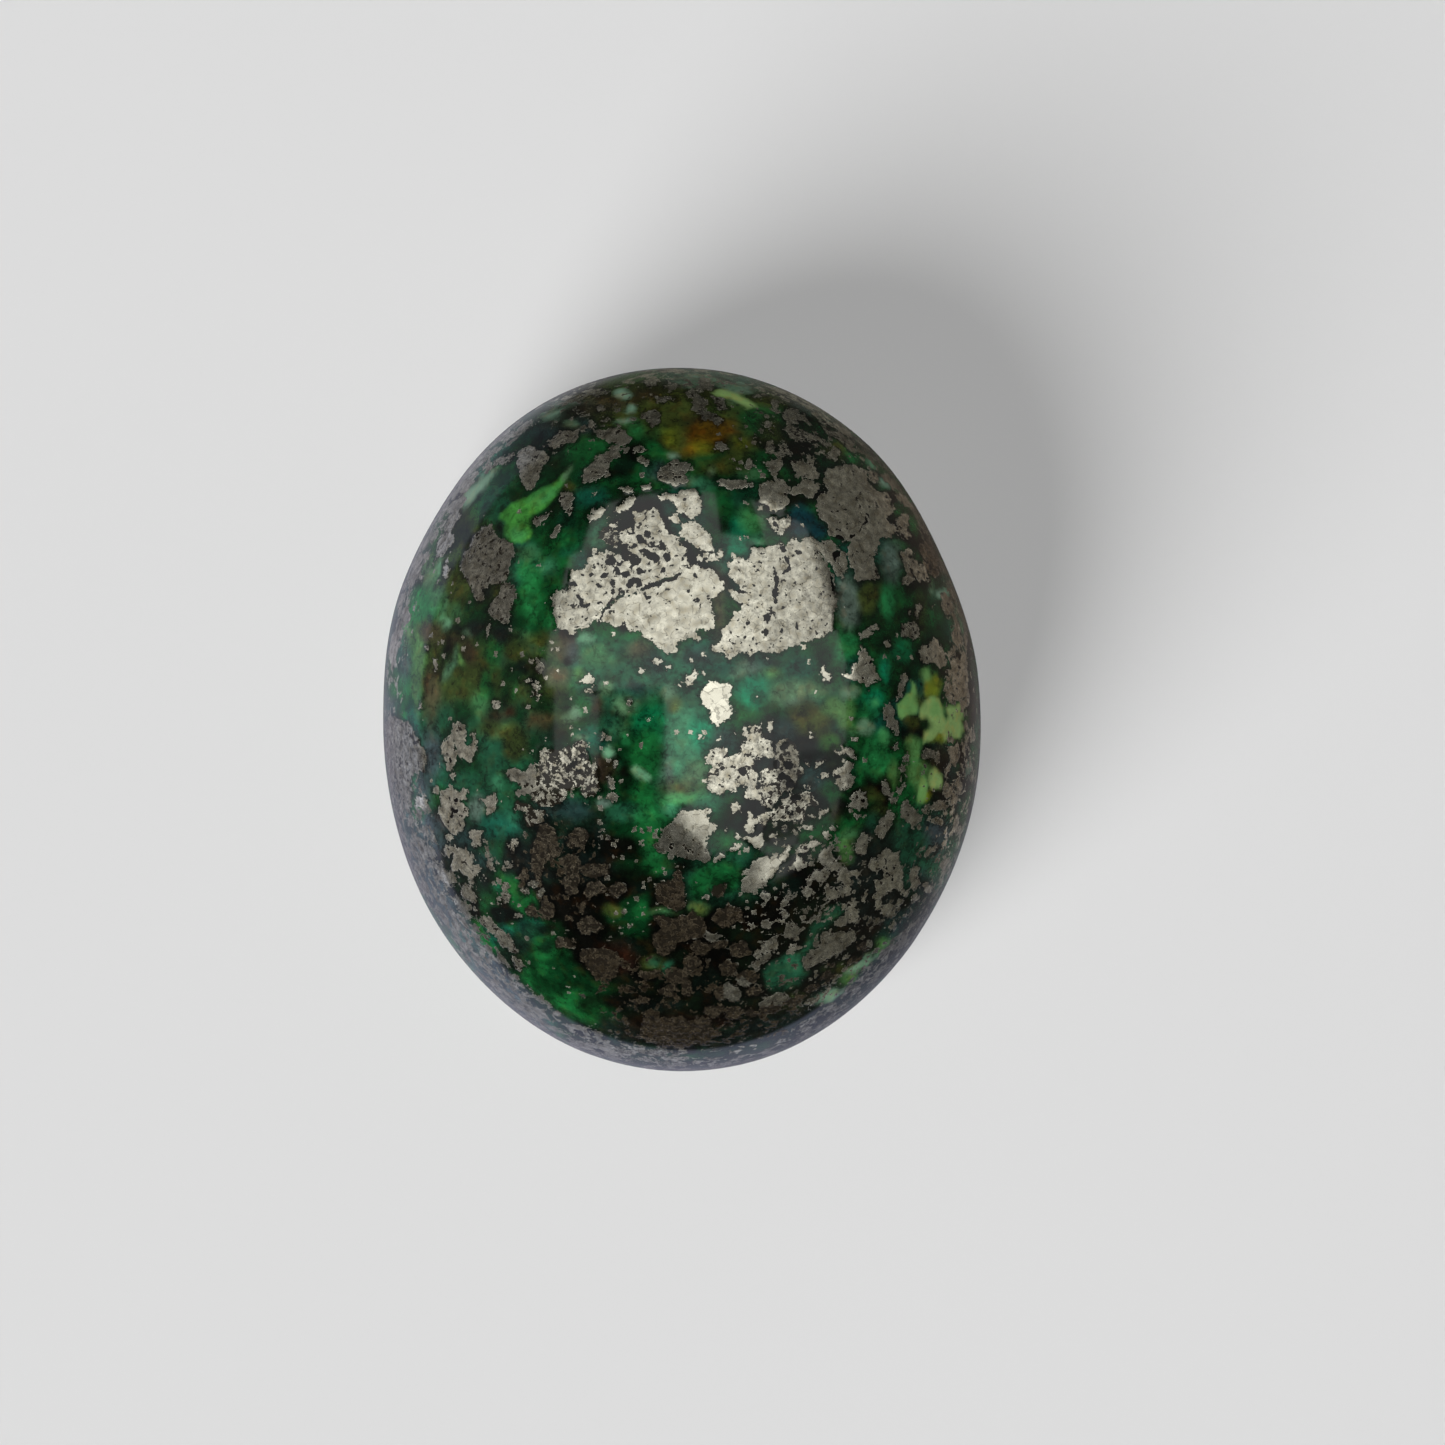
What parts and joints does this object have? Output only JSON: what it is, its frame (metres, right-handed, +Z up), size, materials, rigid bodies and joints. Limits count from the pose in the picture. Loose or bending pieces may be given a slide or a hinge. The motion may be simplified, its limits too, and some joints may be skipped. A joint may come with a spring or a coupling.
{
  "type": "turquoise with pyrite cabochon",
  "caption": "Oval polished cabochon of green turquoise with pyrite, a leaning dome on a flat ground base.",
  "frame": {"origin": "on the flat base, under the middle of the stone's length and width", "axes": "+Y along the stone's length, +X across its width, +Z up out of the dome"},
  "size_m": [0.0154, 0.018, 0.0084],
  "materials": {
    "turquoise_with_pyrite": "polished green turquoise clouded from teal to lime, with dark matrix, brown iron stain and flush silvery-brass pyrite"
  },
  "bodies": {
    "root": {"stone": "turquoise_with_pyrite"}
  },
  "joints": []
}
